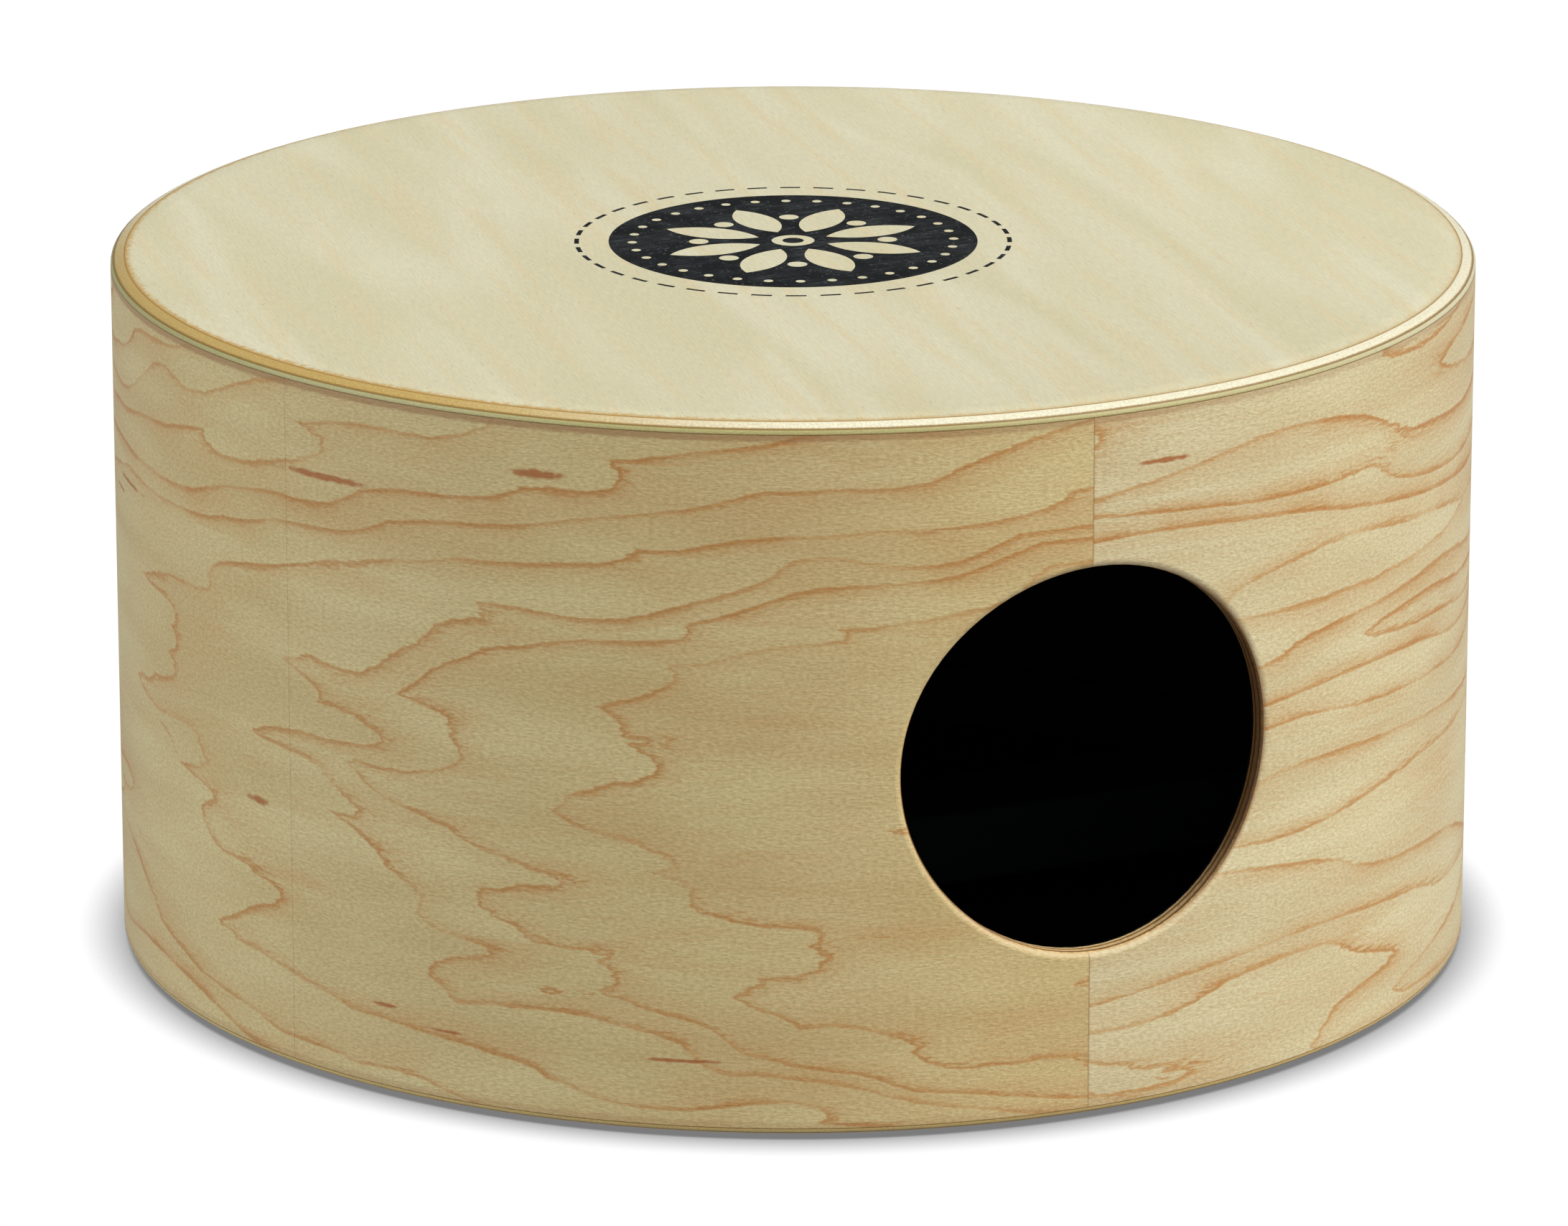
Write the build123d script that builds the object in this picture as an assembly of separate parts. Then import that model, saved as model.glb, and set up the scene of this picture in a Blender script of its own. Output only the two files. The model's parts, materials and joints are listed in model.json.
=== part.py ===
from build123d import *
import os
from math import degrees, hypot, sqrt

# A round two-voice cajon: a low bent-plywood shell faced with maple, closed at both ends by thin
# three-ply birch heads that are glued on. One head is played dry, the other against snare wires.
# Millimetres. The drum stands on its lower head with +Z up, the origin is the centre of that
# head's outer face, and the sound port looks along -Y.

# Overall
drum_diameter = 317.5
drum_height = 165.1

# Heads
face_ply = 0.5
core_ply = 1.1
back_ply = 1.2
edge_round_width = 8.0
edge_round_depth = 2.6

# Shell
shell_wall = 5.0
maple_sheet = 0.6
lining_sheet = 0.6
sheet_count = 5
first_seam_angle = -0.6
first_sheet_span = 69.8
seam_gap = 0.06

# Sound port
port_diameter = 89.0
port_rise = 1.0
port_lip_radius = 1.5

# Glue hoops, inside the shell behind each head
hoop_width = 6.0
hoop_height = 14.0
hoop_chamfer = 1.5

# Printed roundel on the upper head
ink_depth = 0.15
disc_diameter = 86.0
petal_count = 8
petal_length = 23.0
petal_width = 9.5
petal_start = 8.5
dot_count = 32
dot_diameter = 2.2
dot_ring_diameter = 75.0
bead_diameter = 4.6
bead_ring_diameter = 44.0
eye_diameter = 10.0
pupil_diameter = 5.0
dash_ring_diameter = 102.0
dash_width = 1.1
dash_count = 40
dash_fill = 0.6

# Snare rail and the blocks that it hangs from
rail_width = 30.0
rail_depth = 18.0
rail_edge_radius = 2.0
rail_end_clearance = 0.5
block_reach = 30.0
block_height = 20.0
block_chamfer = 3.0

# Snare sets
wire_count = 10
wire_pitch = 4.2
wire_diameter = 1.8
wire_length = 104.0
wire_clearance = 0.2
plate_thickness = 1.2
plate_depth = 13.0
plate_side_margin = 10.0
plate_gap = 2.0
plate_corner_radius = 2.0
wire_seat = 9.0

# Wood screws
plate_screw_diameter = 3.0
plate_screw_length = 12.0
plate_screw_head_diameter = 6.0
plate_screw_head_height = 1.5
plate_hole_clearance = 0.2
rail_screw_diameter = 4.0
rail_screw_length = 34.0
rail_screw_head_diameter = 8.0
rail_screw_head_height = 2.6
rail_screw_spacing = 15.0
rail_screw_inset = 11.0
screw_tip_share = 0.22
recess_width = 0.9
recess_depth = 1.0
recess_reach = 1.2

# Worked out from the sizes above
shell_radius = drum_diameter / 2
shell_inner_radius = shell_radius - shell_wall
head_thickness = face_ply + core_ply + back_ply
shell_bottom = head_thickness
shell_top = drum_height - head_thickness
port_radius = port_diameter / 2
port_height = drum_height / 2 + port_rise
hoop_inner_radius = shell_inner_radius - hoop_width
wire_level = head_thickness + wire_clearance + wire_diameter / 2
plate_bottom = wire_level + wire_diameter / 2
rail_bottom = plate_bottom + plate_thickness
rail_top = rail_bottom + rail_depth
rail_half_length = sqrt(hoop_inner_radius**2 - (rail_width / 2) ** 2) - rail_end_clearance
wire_span = (wire_count - 1) * wire_pitch + wire_diameter
plate_length = wire_span + 2 * plate_side_margin
plate_screw_offset = plate_length / 2 - plate_side_margin / 2
plate_centre = (plate_gap + plate_depth) / 2
cut_margin = 1.0

ON_BASE = (Align.CENTER, Align.CENTER, Align.MIN)


def disc(radius, low, high):
    """Solid cylinder about the drum's axis between two heights."""
    return Pos(0, 0, low) * Cylinder(radius, high - low, align=ON_BASE)


def tube(outer, inner, low, high):
    """Hollow cylinder about the drum's axis between two heights."""
    return disc(outer, low, high) - disc(inner, low, high)


def sector(radius, low, high, span):
    """Wedge of a cylinder about the drum's axis, starting at +X and opening towards +Y."""
    return Pos(0, 0, low) * Cylinder(radius, high - low, arc_size=span, align=None)


def shell_blank():
    """The whole thickness of the shell, with the port drilled through and its lip eased."""
    wall = tube(shell_radius, shell_inner_radius, shell_bottom, shell_top)
    drill = Cylinder(port_radius, drum_diameter, align=ON_BASE)
    wall -= Pos(0, 0, port_height) * Rot(90, 0, 0) * drill

    def on_outer_lip(edge):
        middle = edge @ 0.5
        outside = abs(hypot(middle.X, middle.Y) - shell_radius) < 0.01
        return outside and middle.Y < 0 and abs(middle.X) < port_radius + 0.01

    return fillet(wall.edges().filter_by(on_outer_lip), port_lip_radius)


def shell_layer(wall, outer, inner):
    """One layer of the wall, between two radii."""
    return wall & tube(outer, inner, shell_bottom - cut_margin, shell_top + cut_margin)


def maple_sheets(wall):
    """Face veneers, butt-jointed round the outside. The first lies left of the port's middle."""
    layer = shell_layer(wall, shell_radius + cut_margin, shell_radius - maple_sheet)
    other_span = (360 - first_sheet_span) / (sheet_count - 1)
    gap = degrees(seam_gap / shell_radius)
    start = first_seam_angle - first_sheet_span - 90
    sheets = []
    for number in range(sheet_count):
        span = other_span if number else first_sheet_span
        wedge = sector(shell_radius + 2 * cut_margin, 0, drum_height, span - gap)
        sheets.append(layer & Rot(0, 0, start + gap / 2) * wedge)
        start += span
    return sheets


def head_blank():
    """A head at full thickness, glue face down, with its outer edge rolled over."""
    shoulder = shell_radius - edge_round_width
    land = head_thickness - edge_round_depth
    outline = [
        Line((0, 0), (shell_radius, 0)),
        Line((shell_radius, 0), (shell_radius, land)),
        EllipticalCenterArc((shoulder, land), edge_round_width, edge_round_depth, 0, arc_size=90),
        Line((shoulder, head_thickness), (0, head_thickness)),
        Line((0, head_thickness), (0, 0)),
    ]
    return revolve(Plane.XZ * make_face(outline), Axis.Z)


def head_plies():
    """Back, core and face ply of a head, from the glue face outwards."""
    blank = head_blank()
    levels = [0, back_ply, back_ply + core_ply, head_thickness]
    radius = shell_radius + cut_margin
    return [blank & disc(radius, low, high) for low, high in zip(levels, levels[1:])]


def petal():
    """One leaf of the rosette, pointing along +X."""
    tip = petal_start + petal_length
    middle = petal_start + petal_length / 2
    upper = ThreePointArc((petal_start, 0), (middle, petal_width / 2), (tip, 0))
    lower = ThreePointArc((tip, 0), (middle, -petal_width / 2), (petal_start, 0))
    return make_face([upper, lower])


def ink(pattern):
    """Ink soaked into the upper face veneer, flush with its surface."""
    return Pos(0, 0, drum_height - ink_depth) * extrude(pattern, ink_depth, dir=(0, 0, 1))


def printed_disc():
    """Roundel with a rosette, beads and a ring of dots left bare."""
    pattern = Circle(disc_diameter / 2)
    for place in PolarLocations(0, petal_count):
        pattern -= place * petal()
    for place in PolarLocations(bead_ring_diameter / 2, petal_count, 180 / petal_count):
        pattern -= place * Circle(bead_diameter / 2)
    for place in PolarLocations(dot_ring_diameter / 2, dot_count):
        pattern -= place * Circle(dot_diameter / 2)
    pattern -= Circle(eye_diameter / 2) - Circle(pupil_diameter / 2)
    return ink(pattern)


def printed_ring():
    """Broken ring round the roundel."""
    outer = dash_ring_diameter / 2
    low, high = drum_height - ink_depth, drum_height
    pitch = 360 / dash_count
    dash = sector(outer, low, high, pitch * dash_fill) - disc(outer - dash_width, low, high)
    return [Rot(0, 0, number * pitch) * dash for number in range(dash_count)]


def glue_hoop():
    """Hoop that widens the seat for a head, its seat at z 0 and its free edge eased inside."""
    hoop = tube(shell_inner_radius, hoop_inner_radius, 0, hoop_height)
    free_edge = hoop.edges().filter_by(GeomType.CIRCLE).group_by(Axis.Z)[-1].sort_by(SortBy.RADIUS)[0]
    return chamfer(free_edge, hoop_chamfer)


def screw_body(diameter, length, head):
    """Plain-shanked wood screw pointing up, with its shank starting at z 0. Its hole is the same shape."""
    tip_length = length * screw_tip_share
    shank = Cylinder(diameter / 2, length - tip_length, align=ON_BASE)
    tip = Cone(diameter / 2, diameter / 16, tip_length, align=ON_BASE)
    return head + shank + Pos(0, 0, length - tip_length) * tip


def cross_recess(diameter, head_height):
    """Driver recess in the outer face of a head."""
    slot = Box(recess_width, diameter * recess_reach, recess_depth, align=ON_BASE)
    return Pos(0, 0, -head_height) * (slot + Rot(0, 0, 90) * slot)


def pan_head():
    """Low domed head hanging below z 0."""
    radius = plate_screw_head_diameter / 2
    dome = Pos(0, 0, -plate_screw_head_height) * Cylinder(radius, plate_screw_head_height, align=ON_BASE)
    rim = dome.edges().filter_by(GeomType.CIRCLE).group_by(Axis.Z)[0]
    return fillet(rim, plate_screw_head_height * 0.6)


def sunk_head():
    """Countersunk head hanging below z 0, wide end down."""
    wide, narrow = rail_screw_head_diameter / 2, rail_screw_diameter / 2
    return Pos(0, 0, -rail_screw_head_height) * Cone(wide, narrow, rail_screw_head_height, align=ON_BASE)


def rail_screws():
    """Holes and screws, two up through each end of the rail, their heads flush with its lower face."""
    length = rail_screw_length - rail_screw_head_height
    body = screw_body(rail_screw_diameter, length, sunk_head())
    screw = body - cross_recess(rail_screw_diameter, rail_screw_head_height)
    across = rail_half_length - rail_screw_inset
    places = [
        Pos(side * across, row * rail_screw_spacing / 2, rail_bottom + rail_screw_head_height)
        for side in (-1, 1)
        for row in (-1, 1)
    ]
    return [place * body for place in places], [place * screw for place in places]


def plate_screws():
    """Holes and screws, two up through each snare plate into the rail."""
    body = screw_body(plate_screw_diameter, plate_screw_length, pan_head())
    screw = body - cross_recess(plate_screw_diameter, plate_screw_head_height)
    places = [
        Pos(side * plate_screw_offset, row * plate_centre, plate_bottom)
        for row in (-1, 1)
        for side in (-1, 1)
    ]
    return [place * body for place in places], [place * screw for place in places]


def snare_rail(holes):
    """Hardwood bar across the drum, just above the lower head, drilled for its screws."""
    bar = Box(2 * rail_half_length, rail_width, rail_depth, align=ON_BASE)
    bar = fillet(bar.edges().filter_by(Axis.X), rail_edge_radius)
    bar = Pos(0, 0, rail_bottom) * bar
    for hole in holes:
        bar -= hole
    return bar


def rail_block(side, holes):
    """Block glued to the shell wall, that one end of the rail is screwed up to."""
    top = rail_top + block_height
    inner_end = shell_inner_radius - block_reach
    block = Box(block_reach, rail_width, block_height, align=(Align.MIN, Align.CENTER, Align.MIN))
    nose = block.edges().group_by(Axis.X)[0]
    block = Pos(inner_end, 0, rail_top) * chamfer(nose, block_chamfer)
    block = Rot(0, 0, 0 if side > 0 else 180) * block & disc(shell_inner_radius, rail_top, top)
    for hole in holes:
        block -= hole
    return block


def snare_plate(row):
    """Pressed strip that the wires are soldered under, screwed to the rail's lower face."""
    plate = Box(plate_length, plate_depth, plate_thickness, align=ON_BASE)
    plate = fillet(plate.edges().filter_by(Axis.Z), plate_corner_radius)
    hole = Cylinder(plate_screw_diameter / 2 + plate_hole_clearance, 3 * plate_thickness)
    for side in (-1, 1):
        plate -= Pos(side * plate_screw_offset, 0, 0) * hole
    return Pos(0, row * plate_centre, plate_bottom) * plate


def snare_wires(row):
    """Coiled wires as plain rods, side by side along the lower head, away from the rail."""
    rail_side = row * (plate_centre + plate_depth / 2 - wire_seat)
    rod = Rot(-90 * row, 0, 0) * Cylinder(wire_diameter / 2, wire_length, align=ON_BASE)
    first = -(wire_count - 1) * wire_pitch / 2
    return [Pos(first + number * wire_pitch, rail_side, wire_level) * rod for number in range(wire_count)]


def build():
    """Every piece of the drum in its place, by name."""
    pieces = {}
    wall = shell_blank()
    for number, sheet in enumerate(maple_sheets(wall), 1):
        pieces[f"maple_sheet_{number}"] = sheet
    core_outer = shell_radius - maple_sheet
    core_inner = shell_inner_radius + lining_sheet
    pieces["shell_core"] = shell_layer(wall, core_outer, core_inner)
    pieces["shell_lining"] = shell_layer(wall, core_inner, shell_inner_radius - cut_margin)

    disc_ink = printed_disc()
    ring_ink = printed_ring()
    for layer, ply in zip(("back", "core", "face"), head_plies()):
        upper = Pos(0, 0, shell_top) * ply
        pieces[f"bottom_head_{layer}_ply"] = Pos(0, 0, shell_bottom) * Rot(180, 0, 0) * ply
        pieces[f"top_head_{layer}_ply"] = upper
    for print_piece in [disc_ink, *ring_ink]:
        pieces["top_head_face_ply"] -= print_piece
    pieces["printed_disc"] = disc_ink
    pieces["printed_ring"] = ring_ink

    hoop = glue_hoop()
    pieces["lower_glue_hoop"] = Pos(0, 0, shell_bottom) * hoop
    pieces["upper_glue_hoop"] = Pos(0, 0, shell_top) * Rot(180, 0, 0) * hoop

    long_holes, pieces["rail_screws"] = rail_screws()
    short_holes, pieces["plate_screws"] = plate_screws()
    pieces["snare_rail"] = snare_rail(long_holes + short_holes)
    pieces["rail_block_left"] = rail_block(-1, long_holes)
    pieces["rail_block_right"] = rail_block(1, long_holes)
    for end, row in (("front", -1), ("back", 1)):
        pieces[f"snare_plate_{end}"] = snare_plate(row)
        pieces[f"snare_wires_{end}"] = snare_wires(row)
    return pieces


os.makedirs("parts", exist_ok=True)
for name, shape in build().items():
    solids = Compound(children=shape) if isinstance(shape, list) else shape
    export_step(solids, f"parts/{name}.step")
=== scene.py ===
# %% [markdown]
# # A round cajon, dressed for its portrait
# The drum itself comes from the CAD model: every board, hoop and screw is already in its place.
# Here each piece gets the finish that the real one has, the snare wires become true coils, and
# the drum is set on a pale floor under soft light.

# %% Load the drum
import json
from math import cos, pi, radians, sin, tau

import bmesh
import bpy
from mathutils import Matrix, Vector


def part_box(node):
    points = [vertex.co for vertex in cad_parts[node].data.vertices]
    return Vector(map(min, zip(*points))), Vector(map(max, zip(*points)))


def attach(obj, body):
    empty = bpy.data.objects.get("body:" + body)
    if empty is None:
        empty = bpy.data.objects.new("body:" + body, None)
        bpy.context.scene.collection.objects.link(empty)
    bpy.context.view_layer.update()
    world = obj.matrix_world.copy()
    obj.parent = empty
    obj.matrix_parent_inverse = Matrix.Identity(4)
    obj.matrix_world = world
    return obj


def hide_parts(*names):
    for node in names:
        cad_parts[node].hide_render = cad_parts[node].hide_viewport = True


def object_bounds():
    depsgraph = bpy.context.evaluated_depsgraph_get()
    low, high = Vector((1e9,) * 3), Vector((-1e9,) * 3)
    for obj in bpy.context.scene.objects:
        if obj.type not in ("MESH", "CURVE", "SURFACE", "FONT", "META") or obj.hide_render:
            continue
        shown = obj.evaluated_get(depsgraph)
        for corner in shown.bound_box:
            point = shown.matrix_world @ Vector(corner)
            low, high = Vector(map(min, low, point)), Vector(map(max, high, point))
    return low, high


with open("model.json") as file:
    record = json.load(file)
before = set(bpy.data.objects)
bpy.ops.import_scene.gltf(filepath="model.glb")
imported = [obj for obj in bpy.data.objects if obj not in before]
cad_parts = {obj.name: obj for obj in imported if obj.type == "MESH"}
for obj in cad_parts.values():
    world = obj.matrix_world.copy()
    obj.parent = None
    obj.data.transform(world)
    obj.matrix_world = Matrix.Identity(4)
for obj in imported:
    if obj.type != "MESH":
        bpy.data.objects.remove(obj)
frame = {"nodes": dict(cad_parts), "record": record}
cad_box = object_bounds()
low, high = cad_box
MM = 0.001
DRUM_RADIUS = (high.x - low.x) / 2
DRUM_HEIGHT = high.z - low.z
print("drum", round(2 * DRUM_RADIUS / MM, 1), "x", round(DRUM_HEIGHT / MM, 1), "mm")
print(len(frame["nodes"]), "pieces")

# %% [markdown]
# ## Small tools for finishes
# Colours are picked as sRGB hex, the way a paint chart gives them, and Blender's shaders want
# linear light, so one function converts them. A second function adds a node to a material with
# its settings and its links, and every finish below is built from calls to it. The nodes that are
# used most, for sums, colour mixes and changes of range, get a short name of their own. Angles
# round the drum are counted from the middle of the sound port, to the right as one faces it.

# %% Colours and nodes
def colour(code):
    """Linear RGBA of an sRGB hex colour."""
    channels = [int(code[i:i + 2], 16) / 255 for i in (1, 3, 5)]
    return [c / 12.92 if c <= 0.04045 else ((c + 0.055) / 1.055) ** 2.4 for c in channels] + [1.0]


def add(tree, kind, settings=None, **links):
    """One node with its settings. Links go to sockets by name, or by place as i0, i1, i2."""
    node = tree.nodes.new("ShaderNode" + kind)
    for name, value in (settings or {}).items():
        setattr(node, name, value)
    usable = [s for s in node.inputs if s.enabled]
    for name, value in links.items():
        by_place = name[0] == "i" and name[1:].isdigit()
        wanted = name.replace("_", " ")
        socket = usable[int(name[1:])] if by_place else next(s for s in usable if s.name == wanted)
        if isinstance(value, bpy.types.Node):
            value = next(s for s in value.outputs if s.enabled)
        if isinstance(value, bpy.types.NodeSocket):
            tree.links.new(value, socket)
        else:
            socket.default_value = value
    return node


def calc(tree, operation, **links):
    """Math node for numbers."""
    return add(tree, "Math", {"operation": operation}, **links)


def vector(tree, operation, **links):
    """Math node for vectors."""
    return add(tree, "VectorMath", {"operation": operation}, **links)


def blend(tree, **links):
    """Mix of the colours i1 and i2, all i2 where Factor is 1."""
    return add(tree, "Mix", {"data_type": "RGBA"}, **links)


def scaled(tree, **links):
    """A value taken from one range to another in a straight line."""
    return add(tree, "MapRange", **links)


def eased(tree, **links):
    """A value taken from one range to another with a soft start and end."""
    return add(tree, "MapRange", {"interpolation_type": "SMOOTHSTEP"}, **links)


def blank(name):
    """A new material with an empty tree."""
    finish = bpy.data.materials.new(name)
    finish.use_nodes = True
    finish.node_tree.nodes.clear()
    return finish, finish.node_tree


def coat(tree, paint, roughness, relief, depth, **fixed):
    """Shader at the end of a finish: colour, roughness and relief from nodes, the rest fixed."""
    bump = add(tree, "Bump", Height=relief, Distance=depth)
    shader = add(tree, "BsdfPrincipled", Base_Color=paint, Roughness=roughness, Normal=bump, **fixed)
    add(tree, "OutputMaterial", Surface=shader)


def dress(finish, *nodes):
    """Puts a finish on CAD pieces."""
    for node in nodes:
        frame["nodes"][node].material_slots[0].material = finish
    print(finish.name, "on", ", ".join(nodes))

# %% [markdown]
# ## Camera, light and floor
# The drum is seen from a little above, with a long lens from about two metres, so its sides stay
# almost upright. A big soft light stands at the right, a weaker and cooler one at the left, and
# the room adds an even glow. The floor is a glowing white sweep with a painted shadow that only
# darkens it close under the drum, as in a catalogue studio, and it throws no light back on the wood.

# %% Camera
CAMERA_SIDE = radians(-25.1)
CAMERA_RISE = radians(16.54)
CAMERA_DISTANCE = 2.2045
CAMERA_LENS = 214.88
CAMERA_SHIFT = (-0.0058, -0.0211)
aim = Vector((0, 0, DRUM_HEIGHT / 2))
back = Vector((sin(CAMERA_SIDE) * cos(CAMERA_RISE), -cos(CAMERA_SIDE) * cos(CAMERA_RISE), sin(CAMERA_RISE)))
camera_data = bpy.data.cameras.new("camera")
camera_data.lens = CAMERA_LENS
camera_data.sensor_width = 36
camera_data.shift_x, camera_data.shift_y = CAMERA_SHIFT
camera_data.clip_start, camera_data.clip_end = 0.05, 50
camera = bpy.data.objects.new("camera", camera_data)
camera.location = aim + back * CAMERA_DISTANCE
camera.rotation_mode = "QUATERNION"
camera.rotation_quaternion = (-back).to_track_quat("-Z", "Y")
bpy.context.scene.collection.objects.link(camera)
bpy.context.scene.camera = camera
bpy.context.scene.view_settings.view_transform = "Standard"
print("camera at", [round(v, 3) for v in camera.location])

# %% Lights
LAMP_DISTANCE = 3
GLOW_BELOW, GLOW_ABOVE = 0.4, 0.29
HORIZON = 0.1


def soft_sun(name, side, rise, strength, spread, tint):
    """A very large soft light far away. side is measured from the camera, to the right."""
    lamp = bpy.data.lights.new(name, "SUN")
    lamp.energy, lamp.angle, lamp.color = strength, spread, colour(tint)[:3]
    angle = CAMERA_SIDE + radians(side)
    flat, upright = cos(radians(rise)), sin(radians(rise))
    towards = Vector((sin(angle) * flat, -cos(angle) * flat, upright))
    sun = bpy.data.objects.new(name, lamp)
    sun.location = towards * LAMP_DISTANCE
    sun.rotation_mode = "QUATERNION"
    sun.rotation_quaternion = towards.to_track_quat("Z", "Y")
    bpy.context.scene.collection.objects.link(sun)


soft_sun("key", 70, 40, 2.95, radians(50), "#FFFCF4")
soft_sun("fill", -74, 25, 1.7, radians(60), "#F1F9FA")

world = bpy.data.worlds.new("studio")
bpy.context.scene.world = world
world.use_nodes = True
sky = world.node_tree
sky.nodes.clear()
ray = add(sky, "TexCoord")
ray_height = add(sky, "SeparateXYZ", Vector=ray.outputs["Generated"])
upward = scaled(sky, Value=ray_height.outputs["Z"], From_Min=-HORIZON, From_Max=HORIZON,
                To_Min=GLOW_BELOW, To_Max=GLOW_ABOVE)
add(sky, "OutputWorld", Surface=add(sky, "Background", Strength=upward))
print("lights: key, fill and room")

# %% Floor
FLOOR_HALF_WIDTH = 8
SHADOW_REACH = 15 * MM
floor_mesh = bpy.data.meshes.new("floor")
sheet = bmesh.new()
bmesh.ops.create_grid(sheet, x_segments=1, y_segments=1, size=FLOOR_HALF_WIDTH)
sheet.to_mesh(floor_mesh)
sheet.free()
floor = bpy.data.objects.new("floor", floor_mesh)
bpy.context.scene.collection.objects.link(floor)
paper, tree = blank("white_sweep_painted_shadow")
# painted shadow: ambient occlusion dims the sweep's glow close under the drum
hollow = add(tree, "AmbientOcclusion", {"samples": 16}, Distance=SHADOW_REACH).outputs["AO"]
shade = scaled(tree, Value=hollow, From_Min=0.3, From_Max=0.92, To_Min=0.2, To_Max=1.02)
add(tree, "OutputMaterial", Surface=add(tree, "Emission", Color=colour("#FFFFFF"), Strength=shade))
floor_mesh.materials.append(paper)
floor.visible_diffuse = False
floor.visible_glossy = False
print("floor", len(floor_mesh.polygons), "face")

# %% [markdown]
# ## Maple face veneer
# The shell's face is flat-sliced maple in five sheets, glued edge to edge round the drum with the
# grain running round it. Flat slicing cuts the growth rings at a shallow angle, so each ring
# shows as one long tongue with a brown line on its outer side and a pinkish fade behind it.
# That can be made as a height map of ring age: a number that grows along the sheet, pushed back
# and forth by a profile over the height of the sheet. Wherever the number passes a whole step
# there is a line, sharp on one side and faded on the other. Fine fibre flecks lie on top.

# %% Positions on the wall
SHELL_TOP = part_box("shell_core")[1].z
PLY_LEVELS = {node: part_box(f"top_head_{node}_ply")[0].z for node in ("back", "core", "face")}
openings = {opening["name"]: opening["box_m"] for opening in frame["record"]["physics"]["openings"]}
port_low, port_high = openings["sound_port"]
PORT_HEIGHT = (port_low[2] + port_high[2]) / 2
PORT_RADIUS = 44.5 * MM
SEAM_AT_PORT = -0.6
SHORT_SHEET = 69.8
LONG_SHEET = (360 - SHORT_SHEET) / 4
SEAMS = [SEAM_AT_PORT - SHORT_SHEET] + [SEAM_AT_PORT + LONG_SHEET * number for number in range(4)]
VENEER = 0.6 * MM
print("veneer seams at", [round(seam, 2) for seam in SEAMS], "degrees")


def wall_place(tree, turn):
    """The point itself, its distance round the drum from the angle turn, and its height, in metres."""
    point = add(tree, "TexCoord").outputs["Object"]
    turned = add(tree, "Mapping", Vector=point, Rotation=(0, 0, -radians(turn)))
    part = add(tree, "SeparateXYZ", Vector=turned)
    forward = calc(tree, "MULTIPLY", i0=part.outputs["Y"], i1=-1.0)
    angle = calc(tree, "ARCTAN2", i0=part.outputs["X"], i1=forward)
    along = calc(tree, "MULTIPLY", i0=angle, i1=DRUM_RADIUS)
    return point, along, part.outputs["Z"]


def off_axis(tree, point):
    """Distance from the drum's axis."""
    return vector(tree, "LENGTH", i0=vector(tree, "MULTIPLY", i0=point, i1=(1, 1, 0))).outputs["Value"]


def off_middle(tree, height):
    """Distance up or down from the middle of the drum's height."""
    return calc(tree, "ABSOLUTE", i0=calc(tree, "SUBTRACT", i0=height, i1=DRUM_HEIGHT / 2))


def stretched_noise(tree, along, across, length, width, seed, **more):
    """Noise about 0 whose blotches are length by width."""
    u = calc(tree, "DIVIDE", i0=along, i1=length)
    v = calc(tree, "DIVIDE", i0=across, i1=width)
    where = add(tree, "CombineXYZ", X=u, Y=v, Z=seed)
    return add(tree, "TexNoise", {"normalize": False}, Vector=where, Scale=1.0, **more)

# %% The tongues' profile
# Heights on the sheet and how far right the same ring stands there, both in millimetres. A sharp
# point is where a tongue ends, a round one is the bay between two tongues.
TONGUES = [
    (0, 250, "round"), (8, 185, "round"), (14, 142, "round"), (20, 112, "round"), (31, 70, "sharp"),
    (42, 90, "round"), (51, 62, "round"), (56, 60, "round"), (66, 48, "round"), (74, 22, "sharp"),
    (82, 46, "round"), (90, 50, "round"), (98, 30, "sharp"), (104, 50, "round"), (111, 58, "round"),
    (118, 92, "round"), (125, 130, "round"), (134, 205, "round"), (146, 300, "round"), (165, 395, "round"),
]
PROFILE_SPAN = 400 * MM
# Ring ages in millimetres where a brown line runs, as they follow each other along the sheet.
RING_AGES = [-640, -560, -490, -430, -380, -325, -255, -190, -99, -40, -9, 39, 118, 160, 215, 270, 330]
OLDEST, YOUNGEST = RING_AGES[0] * MM, RING_AGES[-1] * MM


def draw_curve(node, places, bends=None):
    """Sets a curve node's points. Sharp points keep straight lines on both sides."""
    line = node.mapping.curves[0]
    for number, place in enumerate(places):
        if number in (0, 1):
            line.points[number].location = place
        else:
            line.points.new(*place)
    for point, bend in zip(line.points, bends or ["sharp"] * len(places)):
        point.handle_type = "VECTOR" if bend == "sharp" else "AUTO_CLAMPED"
    node.mapping.update()
    return node

print(len(TONGUES), "points in the profile,", len(RING_AGES), "rings")

# %% Ring number over a sheet
# How far the profile drifts up and down, how deep its side bays and its fine teeth are.
DRIFT_REACH = 8 * MM
BAY_REACH = 36 * MM
TOOTH_REACH = 1.9 * MM
# On the plainer sheets rings follow each other up the sheet, and hills turn them into islands.
RING_EVERY = 55 * MM
RINGS_A_HILL = 2.7
RINGS_A_TOOTH = 0.04


def ring_group(name):
    """Empty node group that gives a ring number for a place on the sheet."""
    group = bpy.data.node_groups.new(name, "ShaderNodeTree")
    for label in ("Along", "Height", "Seed"):
        group.interface.new_socket(label, in_out="INPUT", socket_type="NodeSocketFloat")
    group.interface.new_socket("Ring", in_out="OUTPUT", socket_type="NodeSocketFloat")
    given = group.nodes.new("NodeGroupInput").outputs
    return group, group.nodes.new("NodeGroupOutput"), given["Along"], given["Height"], given["Seed"]


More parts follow.
